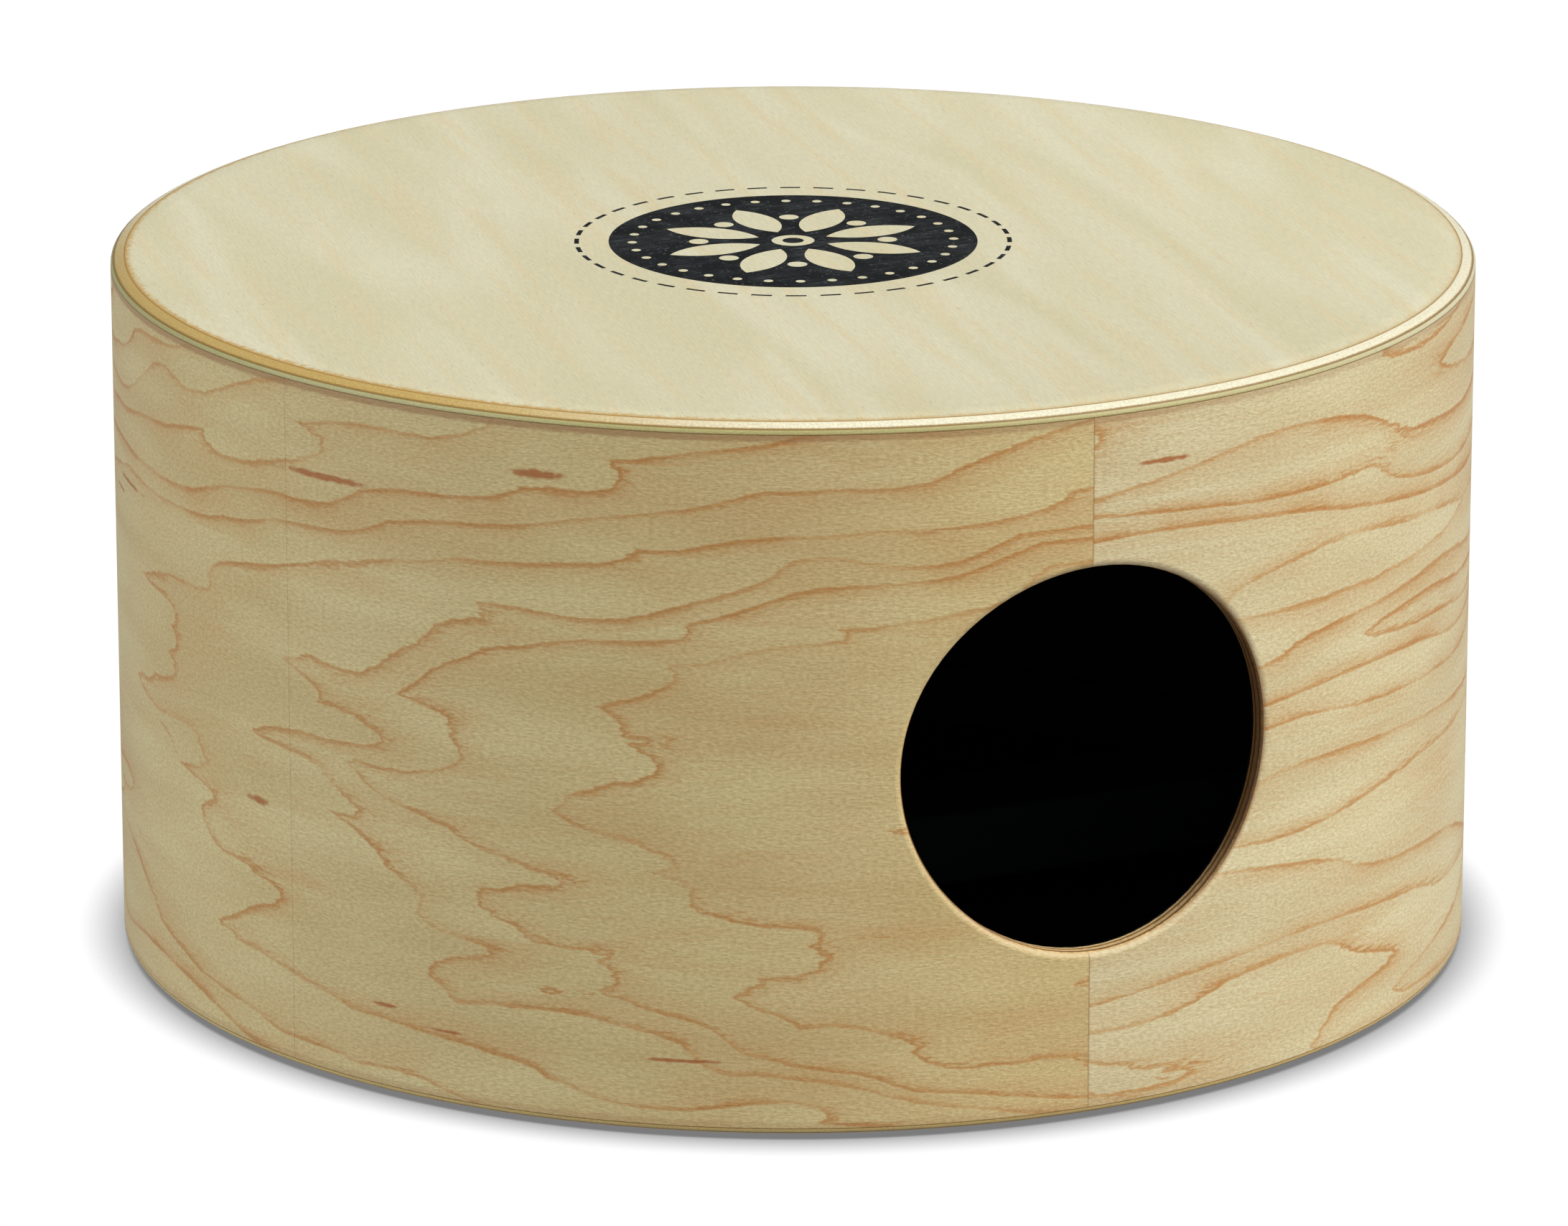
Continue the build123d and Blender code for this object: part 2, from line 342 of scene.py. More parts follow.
tongues, result, along, height, seed = ring_group("nested_tongues")
drift = stretched_noise(tongues, along, height, 70 * MM, 30 * MM, seed, Detail=1.0)
moved = calc(tongues, "MULTIPLY_ADD", i0=drift, i1=DRIFT_REACH, i2=height)
level = calc(tongues, "DIVIDE", i0=moved, i1=DRUM_HEIGHT)
profile = draw_curve(add(tongues, "FloatCurve", Value=level),
                     [(up * MM / DRUM_HEIGHT, right * MM / PROFILE_SPAN) for up, right, bend in TONGUES],
                     [bend for up, right, bend in TONGUES])
other_seed = calc(tongues, "ADD", i0=seed, i1=3.0)
waves = stretched_noise(tongues, along, height, 60 * MM, 17 * MM, other_seed, Detail=1.0)
bays = calc(tongues, "ABSOLUTE", i0=waves)
teeth = stretched_noise(tongues, along, height, 4 * MM, 1.2 * MM, seed, Detail=3.0)
reach = calc(tongues, "MULTIPLY", i0=profile, i1=PROFILE_SPAN)
reach = calc(tongues, "MULTIPLY_ADD", i0=bays, i1=BAY_REACH, i2=reach)
reach = calc(tongues, "MULTIPLY_ADD", i0=teeth, i1=TOOTH_REACH, i2=reach)
age = calc(tongues, "SUBTRACT", i0=along, i1=reach)
share = scaled(tongues, Value=age, From_Min=OLDEST, From_Max=YOUNGEST)
order = draw_curve(add(tongues, "FloatCurve", Value=share),
                   [((years * MM - OLDEST) / (YOUNGEST - OLDEST), number / len(RING_AGES))
                    for number, years in enumerate(RING_AGES)])
number = calc(tongues, "MULTIPLY", i0=order, i1=float(len(RING_AGES)))
tongues.links.new(number.outputs[0], result.inputs["Ring"])

islands, result, along, height, seed = ring_group("long_islands")
hills = stretched_noise(islands, along, height, 135 * MM, 21 * MM, seed, Detail=1.0, Roughness=0.3)
teeth = stretched_noise(islands, along, height, 5 * MM, 1.2 * MM, seed, Detail=3.0)
slope = calc(islands, "MULTIPLY", i0=height, i1=1 / RING_EVERY)
hilly = calc(islands, "MULTIPLY_ADD", i0=hills, i1=RINGS_A_HILL, i2=slope)
number = calc(islands, "MULTIPLY_ADD", i0=teeth, i1=RINGS_A_TOOTH, i2=hilly)
islands.links.new(number.outputs[0], result.inputs["Ring"])

# %% Brown lines from the ring number
# Distance behind the sharp side of a line in share of LINE_REACH, and the line's strength there.
LINE_FADE = [(0.0, 0.0), (0.03, 0.75), (0.05, 1.0), (0.08, 0.75),
             (0.12, 0.42), (0.3, 0.24), (0.6, 0.1), (1.0, 0.0)]
LINE_REACH = 14 * MM
LINE_EDGE = 0.4 * MM
# The group is asked again this far away, which gives the slope that keeps lines evenly wide.
PROBE = 0.4 * MM
FEWEST_RINGS_A_METRE = 12.0


def ring_lines(tree, rings, along, height, seed):
    """Strength of the brown line, 1 at its sharp side, fading behind it."""
    ahead = calc(tree, "ADD", i0=along, i1=PROBE)
    above = calc(tree, "ADD", i0=height, i1=PROBE)
    here, beside, over = [add(tree, "Group", {"node_tree": rings}, Along=a, Height=h, Seed=seed)
                          for a, h in ((along, height), (ahead, height), (along, above))]
    steps = [calc(tree, "SUBTRACT", i0=near, i1=here) for near in (beside, over)]
    steepness = vector(tree, "LENGTH", i0=add(tree, "CombineXYZ", X=steps[0], Y=steps[1])).outputs["Value"]
    per_metre = calc(tree, "DIVIDE", i0=steepness, i1=PROBE)
    steady = calc(tree, "MAXIMUM", i0=per_metre, i1=FEWEST_RINGS_A_METRE)
    early = calc(tree, "MULTIPLY_ADD", i0=steady, i1=LINE_EDGE, i2=here)
    ring = calc(tree, "FLOOR", i0=early)
    share = calc(tree, "FRACT", i0=early)
    behind = calc(tree, "DIVIDE", i0=share, i1=steady)
    distance = calc(tree, "DIVIDE", i0=behind, i1=LINE_REACH)
    curve = draw_curve(add(tree, "FloatCurve", Value=distance), LINE_FADE)
    luck = add(tree, "TexWhiteNoise", {"noise_dimensions": "1D"}, W=ring)
    weight = scaled(tree, Value=luck, To_Min=0.7, To_Max=1.0)
    worn = stretched_noise(tree, along, height, 26 * MM, 13 * MM, seed + 2, Detail=2.0)
    patchy = scaled(tree, Value=worn, From_Min=-0.4, From_Max=0.3, To_Min=0.5, To_Max=1.0)
    weighed = calc(tree, "MULTIPLY", i0=curve, i1=weight)
    return calc(tree, "MULTIPLY", i0=weighed, i1=patchy)

# %% Mineral streaks
# Angle from the port, height in mm, length, width and tilt of the small red-brown streaks that
# maple carries where the tree was hurt.
STREAKS = [
    (-45.9, 150.8, 9.0, 1.3, 4), (-66.0, 142.0, 17.0, 1.0, 12), (-74.4, 61.5, 5.0, 1.3, -3),
    (-60.0, 21.8, 4.5, 0.7, -8), (-54.0, 18.5, 5.0, 0.6, -4), (-34.0, 18.0, 12.0, 0.6, -4),
    (6.0, 150.5, 9.0, 0.8, 38), (-99.0, 119.0, 13.0, 0.6, 10), (-103.0, 115.0, 7.0, 0.5, 8),
]


def streak_mask(tree, point):
    """1 on a streak, 0 off it."""
    total = 0.0
    rag = add(tree, "TexNoise", {"normalize": False}, Vector=point, Scale=1 / (2.5 * MM), Detail=3.0)
    for angle, height, length, width, tilt in STREAKS:
        turned = add(tree, "Mapping", Vector=point, Rotation=(0, 0, -radians(angle)))
        level = vector(tree, "SUBTRACT", i0=turned, i1=(0, 0, height * MM))
        leaned = add(tree, "Mapping", Vector=level, Rotation=(0, radians(tilt), 0),
                     Scale=(1 / (length * MM), 0.0, 1 / (width * MM)))
        reach = vector(tree, "LENGTH", i0=leaned)
        front = add(tree, "SeparateXYZ", Vector=turned)
        torn = calc(tree, "MULTIPLY_ADD", i0=rag, i1=0.3, i2=reach.outputs["Value"])
        faded = eased(tree, Value=torn, From_Min=0.4, From_Max=1.0, To_Min=0.9, To_Max=0.0)
        near = calc(tree, "LESS_THAN", i0=front.outputs["Y"], i1=0.0)
        spot = calc(tree, "MULTIPLY", i0=faded, i1=near)
        total = calc(tree, "MAXIMUM", i0=total, i1=spot)
    return total

# %% One veneer sheet
EDGE_STAIN = 1.8 * MM


def maple(name, turn, rings, seed, tones, left_seam, right_seam, streaks):
    """Satin-lacquered maple. turn is the angle its pattern is laid out from."""
    finish, tree = blank(name)
    point, along, height = wall_place(tree, turn)
    lines = ring_lines(tree, rings, along, height, seed)
    cloud = stretched_noise(tree, along, height, 70 * MM, 16 * MM, seed + 7, Detail=2.0)
    fibre = stretched_noise(tree, along, height, 1.4 * MM, 0.42 * MM, seed + 9, Detail=2.0, Roughness=0.6)
    ripple = stretched_noise(tree, along, height, 1.2 * MM, 0.8 * MM, seed + 11, Detail=2.0)
    plain = blend(tree, i1=colour(tones[0]), i2=colour(tones[1]),
                  Factor=scaled(tree, Value=cloud, From_Min=-0.5, From_Max=0.5))
    veiled = blend(tree, i1=plain, i2=colour("#D2A970"),
                   Factor=scaled(tree, Value=lines, From_Max=0.5, To_Max=0.85))
    ringed = blend(tree, i1=veiled, i2=colour("#BE7C2E"),
                   Factor=scaled(tree, Value=lines, From_Min=0.3, From_Max=1.0, To_Max=0.8))
    grain = calc(tree, "MULTIPLY_ADD", i0=ripple, i1=1.0, i2=fibre)
    flecks = blend(tree, i1=(0.9, 0.87, 0.83, 1.0), i2=(1.09, 1.12, 1.16, 1.0),
                   Factor=scaled(tree, Value=grain, From_Min=-0.8, From_Max=0.8))
    wood = vector(tree, "MULTIPLY", i0=ringed, i1=flecks)
    if streaks:
        hurt = streak_mask(tree, point)
        wood = blend(tree, Factor=hurt, i1=wood, i2=colour("#B0662A"))
    # sanding through and glue darken the veneer at its joints, at the port's lip and at the heads;
    # at the heads the darkening is made stronger on the left, as painted shade, and at the port's lip
    # it grows strongest on the lip's right side, which is painted shade too
    part = add(tree, "SeparateXYZ", Vector=point)
    level = off_middle(tree, part.outputs["Z"])
    fuzz = stretched_noise(tree, along, height, 4 * MM, 0.8 * MM, seed + 13, Detail=2.0)
    soft = calc(tree, "MULTIPLY_ADD", i0=fuzz, i1=0.3 * MM, i2=level)
    rim = SHELL_TOP - DRUM_HEIGHT / 2
    # painted shade: the stain at the heads is stronger on the left, away from the key light
    rim_stain_and_left_shade = scaled(tree, Value=part.outputs["X"], From_Min=-0.1, From_Max=0.05, To_Min=0.7, To_Max=0.3)
    upper = scaled(tree, Value=part.outputs["Z"], From_Min=0.4 * DRUM_HEIGHT,
                   From_Max=0.6 * DRUM_HEIGHT, To_Min=0.4)
    rim_stain_and_left_shade = calc(tree, "MULTIPLY", i0=rim_stain_and_left_shade, i1=upper)
    at_head = eased(tree, Value=soft,
                    From_Min=rim - EDGE_STAIN, From_Max=rim - EDGE_STAIN * 0.55, To_Max=rim_stain_and_left_shade)
    rise = calc(tree, "SUBTRACT", i0=part.outputs["Z"], i1=PORT_HEIGHT)
    out = add(tree, "CombineXYZ", X=part.outputs["X"], Y=rise)
    reach = vector(tree, "LENGTH", i0=out).outputs["Value"]
    at_port = eased(tree, Value=reach, From_Min=PORT_RADIUS + 0.3 * MM,
                    From_Max=PORT_RADIUS + 1.3 * MM, To_Min=0.95, To_Max=0.0)
    front = calc(tree, "LESS_THAN", i0=part.outputs["Y"], i1=0.0)
    # painted shade: the lip's stain grows from weak at its left to strongest at its shaded right side
    cut_ends_and_side_shade = scaled(tree, Value=part.outputs["X"], From_Min=0.3 * PORT_RADIUS,
                      From_Max=0.9 * PORT_RADIUS, To_Min=0.15)
    at_end = calc(tree, "MULTIPLY", i0=at_port, i1=cut_ends_and_side_shade)
    at_lip = calc(tree, "MULTIPLY", i0=at_end, i1=front)
    stain_and_shade = calc(tree, "MAXIMUM", i0=at_head, i1=at_lip)
    for seam, strength, side in ((left_seam[0], left_seam[1], 1), (right_seam[0], right_seam[1], -1)):
        place = radians(seam - turn) * DRUM_RADIUS
        away = calc(tree, "SUBTRACT", i0=along, i1=place)
        inward = calc(tree, "MULTIPLY", i0=away, i1=float(side))
        at_seam = scaled(tree, Value=inward, From_Min=0.12 * MM, From_Max=0.42 * MM,
                         To_Min=strength, To_Max=0.0)
        stain_and_shade = calc(tree, "MAXIMUM", i0=stain_and_shade, i1=at_seam)
    stained_and_shaded = blend(tree, Factor=stain_and_shade, i1=wood, i2=colour("#A87C50"))
    gloss = scaled(tree, Value=grain, From_Min=-0.8, From_Max=0.8, To_Min=0.40, To_Max=0.52)
    coat(tree, stained_and_shaded, gloss, grain, 0.03 * MM, IOR=1.5, Coat_Weight=0.25, Coat_Roughness=0.3)
    return finish


FAINT, CLEAR = 0.04, 0.32
GOLDEN, PALE = ("#D3BA83", "#DECA94"), ("#DAC99E", "#E4D7AD")
# Piece, finish, start angle of the pattern, its rings and seed, tones, seam at each side, streaks.
SHEETS = [
    ("maple_sheet_1", "maple_sheet_port_left", SEAMS[0], tongues, 4.0, GOLDEN,
     (SEAMS[0], FAINT), (SEAMS[1], CLEAR), True),
    ("maple_sheet_5", "maple_sheet_left_side", SEAMS[0], tongues, 4.0, GOLDEN,
     (SEAMS[4] - 360, CLEAR), (SEAMS[0], FAINT), True),
    ("maple_sheet_2", "maple_sheet_port_right", 36.0, islands, 21.0, PALE,
     (SEAMS[1], CLEAR), (SEAMS[2], CLEAR), True),
    ("maple_sheet_3", "maple_sheet_right_side", 108.0, tongues, 33.0, PALE,
     (SEAMS[2], CLEAR), (SEAMS[3], CLEAR), False),
    ("maple_sheet_4", "maple_sheet_back", 181.0, islands, 45.0, GOLDEN,
     (SEAMS[3], CLEAR), (SEAMS[4], CLEAR), False),
]
for node, *choices in SHEETS:
    dress(maple(*choices), node)

# %% [markdown]
# ## Birch heads
# Each head is three-ply birch. The face veneer is pale, with long fine pores and soft lighter
# bands where the knife followed a wave in the log. On the rolled edge all three veneers show as
# bands with thin brown glue lines between them. A ply looks dark where its fibres are cut off
# end-on and pale where they run along the edge, so its tone turns with the angle round the drum.
# Here it turns only once round: one cut end is dark, and the other, on the side the light comes
# from, is painted pale as painted light.

# %% Birch face veneer
FACE_GRAIN = radians(9.2)
birch_face, tree = blank("birch_face_satin_lacquer")
point = add(tree, "TexCoord").outputs["Object"]
turned = add(tree, "Mapping", Vector=point, Rotation=(0, 0, FACE_GRAIN))
part = add(tree, "SeparateXYZ", Vector=turned)
along, across = part.outputs["Y"], part.outputs["X"]
bands = stretched_noise(tree, along, across, 120 * MM, 22 * MM, 2.0, Detail=2.0, Distortion=0.6)
flames = stretched_noise(tree, along, across, 90 * MM, 5 * MM, 11.0, Detail=3.0, Distortion=0.4)
pores = stretched_noise(tree, along, across, 4 * MM, 0.5 * MM, 5.0, Detail=3.0, Roughness=0.7)
specks = stretched_noise(tree, along, across, 2.2 * MM, 0.5 * MM, 8.0, Detail=0.0)
plain = blend(tree, i1=colour("#DCD5B2"), i2=colour("#E5DFC1"),
              Factor=scaled(tree, Value=bands, From_Min=-0.5, From_Max=0.5))
peach = eased(tree, Value=flames, From_Min=-0.1, From_Max=0.6, To_Max=0.4)
plain = blend(tree, Factor=peach, i1=plain, i2=colour("#E4D0A4"))
shade = scaled(tree, Value=pores, From_Min=-0.8, From_Max=0.8, To_Min=0.93, To_Max=1.07)
wood = vector(tree, "SCALE", i0=plain, Scale=shade)
dark = eased(tree, Value=specks, From_Min=0.55, From_Max=0.75, To_Max=0.5)
wood = blend(tree, Factor=dark, i1=wood, i2=colour("#B48C5C"))
flat = add(tree, "SeparateXYZ", Vector=point)
# painted light: the head is made up to 6% brighter towards its right, where the key light falls
lit_right_brightening = scaled(tree, Value=flat.outputs["X"], From_Min=0.02, From_Max=0.14, To_Min=1.0, To_Max=1.06)
wood = vector(tree, "SCALE", i0=wood, Scale=lit_right_brightening)
level = off_middle(tree, flat.outputs["Z"])
GLUE_1 = PLY_LEVELS["face"] - DRUM_HEIGHT / 2
fuzz = add(tree, "TexNoise", {"normalize": False}, Vector=point, Scale=1 / (1.6 * MM), Detail=3.0)
ragged = calc(tree, "MULTIPLY_ADD", i0=fuzz, i1=0.12 * MM, i2=level)
# painted shade: the brown burn above the glue line is stronger towards the left, away from the key light
sideways = scaled(tree, Value=flat.outputs["X"], From_Min=-0.09, From_Max=0.0, To_Min=0.95, To_Max=0.35)
burn_and_left_shade = eased(tree, Value=ragged,
             From_Min=GLUE_1, From_Max=GLUE_1 + 0.32 * MM, To_Min=sideways, To_Max=0.0)
edged = blend(tree, Factor=burn_and_left_shade, i1=wood, i2=colour("#C9A055"))
seep = eased(tree, Value=level,
             From_Min=GLUE_1 + 0.02 * MM, From_Max=GLUE_1 + 0.08 * MM, To_Min=0.6, To_Max=0.0)
edged = blend(tree, Factor=seep, i1=edged, i2=colour("#BE9045"))
gloss = scaled(tree, Value=pores, From_Min=-0.8, From_Max=0.8, To_Min=0.42, To_Max=0.54)
coat(tree, edged, gloss, pores, 0.02 * MM, IOR=1.5, Coat_Weight=0.2, Coat_Roughness=0.3)
dress(birch_face, "top_head_face_ply", "bottom_head_face_ply")

# %% Edges of the inner plies
def ply_edge(name, flat_tone, end_tone, end_angle, turnover, glue_levels, glue_tone, inside=None):
    """A ply seen on its edge, dark along its glue lines and at its cut end at end_angle, with the other cut
    end painted pale as painted light and the ply painted black as painted shade within the radius given as
    inside.
    """
    finish, tree = blank(name)
    point, along, height = wall_place(tree, end_angle)
    level = off_middle(tree, height)
    angle = calc(tree, "DIVIDE", i0=along, i1=DRUM_RADIUS)
    facing = calc(tree, "COSINE", i0=angle)
    # painted light: only the cut end at end_angle turns dark, the opposite cut end stays pale as if lit
    end_grain_and_lit_side = eased(tree, Value=facing, From_Min=turnover[0], From_Max=turnover[1])
    fibre = stretched_noise(tree, along, height, 0.7 * MM, 0.3 * MM, 3.0, Detail=3.0, Roughness=0.7)
    body = blend(tree, Factor=end_grain_and_lit_side, i1=colour(flat_tone), i2=colour(end_tone))
    shade = scaled(tree, Value=fibre, From_Min=-0.8, From_Max=0.8, To_Min=0.86, To_Max=1.14)
    wood = vector(tree, "SCALE", i0=body, Scale=shade)
    wander = calc(tree, "MULTIPLY_ADD", i0=fibre, i1=0.03 * MM, i2=level)
    for glue, width in glue_levels:
        gap = calc(tree, "ABSOLUTE", i0=calc(tree, "SUBTRACT", i0=wander, i1=glue))
        line = eased(tree, Value=gap, From_Min=width * 0.2, From_Max=width, To_Min=0.9, To_Max=0.0)
        wood = blend(tree, Factor=line, i1=wood, i2=colour(glue_tone))
    if inside:
        # painted shade: inside the given radius the ply is painted near-black
        inside_shade_mask = calc(tree, "LESS_THAN", i0=off_axis(tree, point), i1=inside)
        wood = blend(tree, Factor=inside_shade_mask, i1=wood, i2=colour("#0C0C0D"))
    gloss = scaled(tree, Value=fibre, From_Min=-0.8, From_Max=0.8, To_Min=0.38, To_Max=0.52)
    coat(tree, wood, gloss, fibre, 0.02 * MM, IOR=1.5, Coat_Weight=0.2, Coat_Roughness=0.3)
    return finish


GLUE_2 = PLY_LEVELS["core"] - DRUM_HEIGHT / 2
GLUE_3 = PLY_LEVELS["back"] - DRUM_HEIGHT / 2
lining_low, lining_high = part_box("shell_lining")
SHELL_INSIDE = (lining_high.x - lining_low.x) / 2 - VENEER
CORE_LINES = [(GLUE_1, 0.1 * MM), (GLUE_2, 0.34 * MM)]
BACK_LINES = [(GLUE_2, 0.22 * MM), (GLUE_3, 0.36 * MM)]
NARROW, WIDE = (0.5, 0.95), (-0.2, 0.6)
# Piece, finish, tone along and across the fibres, angle of the dark cut end (the other cut end is
# painted pale as painted light), how fast the tone turns, glue lines with their tone, and the radius
# inside which the ply is painted black as painted shade.
EDGES = [
    ("top_head_core_ply", "upper_core_edge", "#F2ECD2", "#C8A863", -80.0, NARROW, CORE_LINES, "#96701F"),
    ("top_head_back_ply", "upper_back_edge", "#DBD5B4", "#B7AE74", -50.0, WIDE, BACK_LINES, "#76551F",
     SHELL_INSIDE),
    ("bottom_head_core_ply", "lower_core_edge", "#E6D7A8", "#D8B870", -25.0, WIDE, CORE_LINES, "#7D5A1E"),
    ("bottom_head_back_ply", "lower_back_edge", "#E3D29C", "#DCBE78", -25.0, WIDE, BACK_LINES, "#6E4E1C",
     SHELL_INSIDE),
]
for node, *choices in EDGES:
    dress(ply_edge(*choices), node)

# %% [markdown]
# ## Plywood of the shell
# The shell is bent from thin veneers, laid crosswise in turn. They show only in the wall of the
# sound port, as stripes: a stripe is dark where its fibres end and pale where they run along.
# Towards the left and right of the port both kinds of stripe are darkened: the stripes with fibres
# round the drum by their cut ends, and the crosswise ones as painted shade on the side walls.

# %% Port wall
plywood, tree = blank("bent_plywood_raw_edge")
point = add(tree, "TexCoord").outputs["Object"]
reach = off_axis(tree, point)
SHELL_PLY = 0.9 * MM
grit = add(tree, "TexNoise", {"normalize": False}, Vector=point, Scale=1 / (1.0 * MM), Detail=3.0)
wander = calc(tree, "MULTIPLY_ADD", i0=grit, i1=0.1 * MM, i2=reach)
depth = calc(tree, "SUBTRACT", i0=DRUM_RADIUS - VENEER, i1=wander)
layer = calc(tree, "DIVIDE", i0=depth, i1=SHELL_PLY)
wave = calc(tree, "PINGPONG", i0=layer, i1=1.0)
stripe = eased(tree, Value=wave, From_Min=0.5, From_Max=0.75)
sideways = calc(tree, "ABSOLUTE", i0=add(tree, "SeparateXYZ", Vector=point).outputs["X"])
# darker towards the port's sides: cut ends in the lengthwise stripes, painted shade in the crosswise ones
cut_ends_and_side_shade = scaled(tree, Value=sideways, From_Min=0.3 * PORT_RADIUS, From_Max=0.9 * PORT_RADIUS)
lengthwise = blend(tree, Factor=cut_ends_and_side_shade, i1=colour("#E6C690"), i2=colour("#8A6032"))
crosswise = blend(tree, Factor=cut_ends_and_side_shade, i1=colour("#8F6434"), i2=colour("#54371A"))
body = blend(tree, Factor=stripe, i1=lengthwise, i2=crosswise)
shade = scaled(tree, Value=grit, From_Min=-0.8, From_Max=0.8, To_Min=0.8, To_Max=1.2)
wood = vector(tree, "SCALE", i0=body, Scale=shade)
gloss = scaled(tree, Value=grit, From_Min=-0.8, From_Max=0.8, To_Min=0.5, To_Max=0.7)
coat(tree, wood, gloss, grit, 0.05 * MM, IOR=1.5)
dress(plywood, "shell_core")

# %% [markdown]
# ## Dark inside, as painted shade
# The inside of the drum is coloured a matt dark grey, painted shade that stands in for the dark
# inside the drum, so that the port looks like a deep hole. The wood's grain still stands out a
# little under it.

# %% Painted shade over wood grain
inside_shade_finish, tree = blank("painted_shade_dark_on_wood")
point = add(tree, "TexCoord").outputs["Object"]
grain = add(tree, "TexNoise", {"normalize": False}, Scale=1 / (1.5 * MM), Detail=3.0,
            Vector=add(tree, "Mapping", Vector=point, Scale=(0.15, 0.15, 1.0)))
mottle = add(tree, "TexNoise", Vector=point, Scale=1 / (0.4 * MM), Detail=1.0)
tone = blend(tree, Factor=mottle, i1=colour("#303A3A"), i2=colour("#3A4444"))
reach = off_axis(tree, point)
# the lining's cut edge in the port is painted the darkest black, with almost no shine, as painted shade
cut_edge_shade = scaled(tree, Value=reach, From_Min=SHELL_INSIDE + 0.02 * MM, From_Max=SHELL_INSIDE + 0.1 * MM)
tone = blend(tree, Factor=cut_edge_shade, i1=tone, i2=colour("#030404"))
shine = scaled(tree, Value=cut_edge_shade, To_Min=0.5, To_Max=0.03)
gloss = scaled(tree, Value=mottle, To_Min=0.72, To_Max=0.9)
coat(tree, tone, gloss, grain, 0.05 * MM, IOR=1.45, Specular_IOR_Level=shine)
dress(inside_shade_finish, "shell_lining", "upper_glue_hoop", "lower_glue_hoop", "snare_rail",
      "rail_block_left", "rail_block_right")

# %% [markdown]
# ## Screen-printed ink
# The rosette is printed on the head in one pass of black ink and lacquered over. In use it gets
# fine hair scratches in all directions, which show as thin lighter lines.

# %% Ink with scratches
ink, tree = blank("black_screen_ink")
point = add(tree, "TexCoord").outputs["Object"]
SCRATCH_LENGTH = 30 * MM
SCRATCH_GAP = 0.7 * MM
SCRATCH_TURNS = (12, 57, 101, 148)
scratches = 0.0
for turn in SCRATCH_TURNS:
    lane = add(tree, "Mapping", Vector=point, Rotation=(0, 0, radians(turn)),
               Scale=(1 / SCRATCH_LENGTH, 1 / SCRATCH_GAP, 1))
    hair = add(tree, "TexNoise", {"normalize": False}, Vector=lane, Scale=1.0, Detail=1.0)
    thin = calc(tree, "ABSOLUTE", i0=hair)
    mark = scaled(tree, Value=thin, From_Min=0.0, From_Max=0.04, To_Min=0.6, To_Max=0.0)
    scratches = calc(tree, "MAXIMUM", i0=scratches, i1=mark)
worn = add(tree, "TexNoise", Vector=point, Scale=1 / (9 * MM), Detail=3.0)
shown = calc(tree, "MULTIPLY", i0=scratches, i1=scaled(tree, Value=worn, From_Min=0.38, From_Max=0.62))
dust = add(tree, "TexNoise", {"normalize": False}, Vector=point, Scale=1 / (0.9 * MM), Detail=1.0)
dots = eased(tree, Value=dust, From_Min=0.5, From_Max=0.65, To_Max=0.55)
pale = calc(tree, "MAXIMUM", i0=shown, i1=dots)
tone = blend(tree, Factor=pale, i1=colour("#05090C"), i2=colour("#666B70"))
gloss = scaled(tree, Value=worn, To_Min=0.5, To_Max=0.65)
coat(tree, tone, gloss, scratches, 0.01 * MM, IOR=1.5, Specular_IOR_Level=0.15)
dress(ink, "printed_disc", "printed_ring")

# %% [markdown]
# ## Snare metal
# Screws are zinc plated and slightly cloudy, the pressed plates are nickel plated with fine
# lines from rolling, and the wires are bright drawn steel.

# %% Plated and drawn steel
def bright_metal(name, light, dark, grit_size, stretch, smooth, rough):
    """Metal with a fine pattern that is drawn out along X by stretch."""
    finish, tree = blank(name)
    point = add(tree, "TexCoord").outputs["Object"]
    drawn = add(tree, "Mapping", Vector=point, Scale=(1 / stretch, 1, 1))
    grit = add(tree, "TexNoise", Vector=drawn, Scale=1 / grit_size, Detail=2.0)
    tone = blend(tree, Factor=grit, i1=colour(dark), i2=colour(light))
    gloss = scaled(tree, Value=grit, To_Min=smooth, To_Max=rough)
    coat(tree, tone, gloss, grit, 0.01 * MM, Metallic=1.0)
    return finish


zinc = bright_metal("bright_zinc_screw", "#D6DADD", "#A9AEB2", 0.8 * MM, 1.0, 0.22, 0.42)
nickel = bright_metal("nickel_pressed_strip", "#DAD6CC", "#B5B0A6", 0.25 * MM, 30.0, 0.2, 0.38)
dress(zinc, "rail_screws", "plate_screws")
dress(nickel, "snare_plate_front", "snare_plate_back")

# %% [markdown]
# ## Snare wires
# Each wire is a close coil of thin steel, stretched a little between its plate and its free end.
# A coil is a small circle swept round and along an axis, which is what a spin with a sideways
# step makes, so one coil is spun and then copied for its neighbours.

# %% Coils
WIRE_THICKNESS = 0.4 * MM
COIL_PITCH = 1.2 * MM
STEPS_A_TURN = 12
WIRE_SIDES = 6
WIRES_A_SET = 10
wire_finish = bright_metal("bright_drawn_steel", "#E3E4E4", "#BFC1C3", 0.3 * MM, 1.0, 0.16, 0.3)

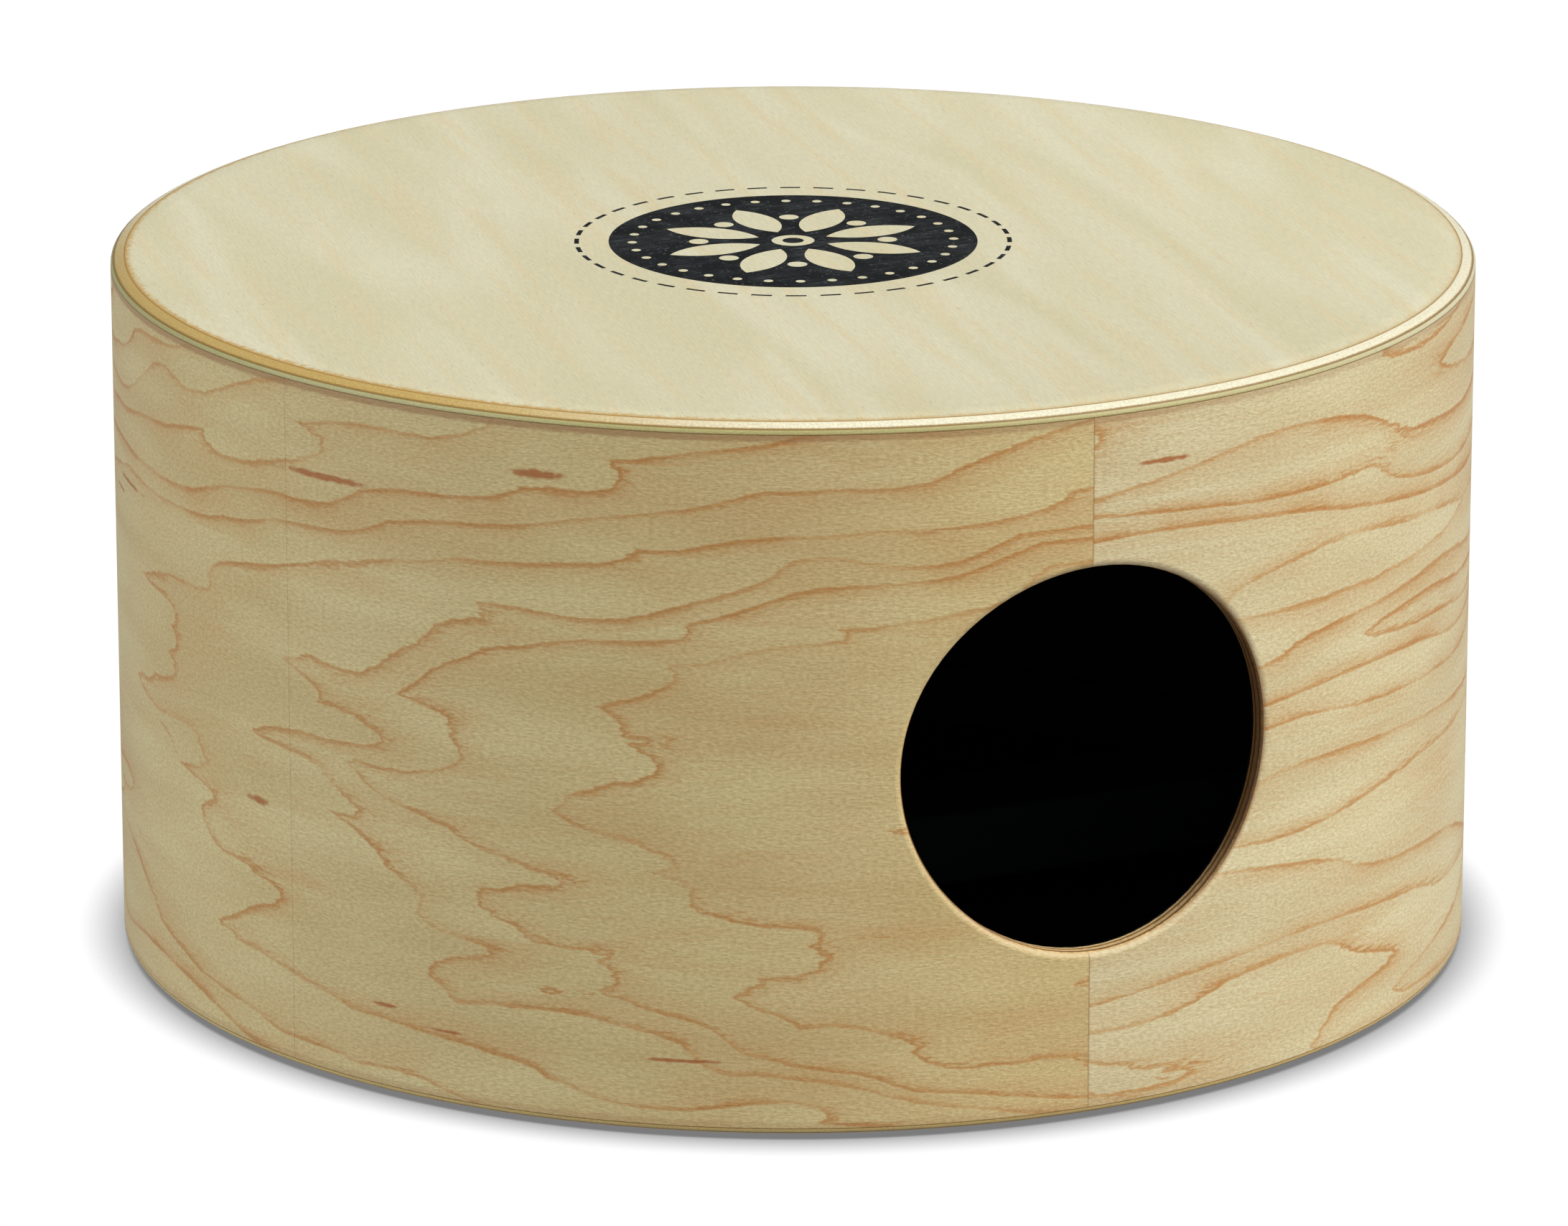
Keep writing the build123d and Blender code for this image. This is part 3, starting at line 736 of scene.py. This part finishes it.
for end in ("front", "back"):
    node = f"snare_wires_{end}"
    near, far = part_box(node)
    coil_radius = (far.z - near.z) / 2
    length = far.y - near.y
    pitch_between = (far.x - near.x - 2 * coil_radius) / (WIRES_A_SET - 1)
    turns = int((length - WIRE_THICKNESS) / COIL_PITCH)
    steps = turns * STEPS_A_TURN
    coil = bmesh.new()
    ring = bmesh.ops.create_circle(coil, segments=WIRE_SIDES, radius=WIRE_THICKNESS / 2)["verts"]
    bmesh.ops.rotate(coil, verts=ring, cent=(0, 0, 0), matrix=Matrix.Rotation(pi / 2, 3, "Y"))
    bmesh.ops.translate(coil, verts=ring, vec=(0, 0, coil_radius - WIRE_THICKNESS / 2))
    travel = length - WIRE_THICKNESS
    bmesh.ops.spin(coil, geom=coil.verts[:] + coil.edges[:], cent=(0, 0, 0), axis=(0, 1, 0),
                   dvec=(0, travel / steps, 0), angle=turns * tau, steps=steps)
    open_ends = [e for e in coil.edges if e.is_boundary]
    bmesh.ops.edgeloop_fill(coil, edges=open_ends)
    start = Vector((near.x + coil_radius, near.y + WIRE_THICKNESS / 2, (near.z + far.z) / 2))
    bmesh.ops.translate(coil, verts=coil.verts[:], vec=start)
    first = coil.verts[:] + coil.edges[:] + coil.faces[:]
    for number in range(1, WIRES_A_SET):
        copy = bmesh.ops.duplicate(coil, geom=first)["geom"]
        moved = [g for g in copy if isinstance(g, bmesh.types.BMVert)]
        bmesh.ops.translate(coil, verts=moved, vec=(number * pitch_between, 0, 0))
    bmesh.ops.recalc_face_normals(coil, faces=coil.faces[:])
    for face in coil.faces:
        face.smooth = True
    mesh = bpy.data.meshes.new(f"snare_coils_{end}")
    coil.to_mesh(mesh)
    coil.free()
    mesh.materials.append(wire_finish)
    coils = bpy.data.objects.new(f"snare_coils_{end}", mesh)
    bpy.context.scene.collection.objects.link(coils)
    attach(coils, "root")
    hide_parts(node)
    triangles = sum(len(p.vertices) - 2 for p in mesh.polygons)
    print(coils.name, WIRES_A_SET, "coils of", turns, "turns,", triangles, "triangles")
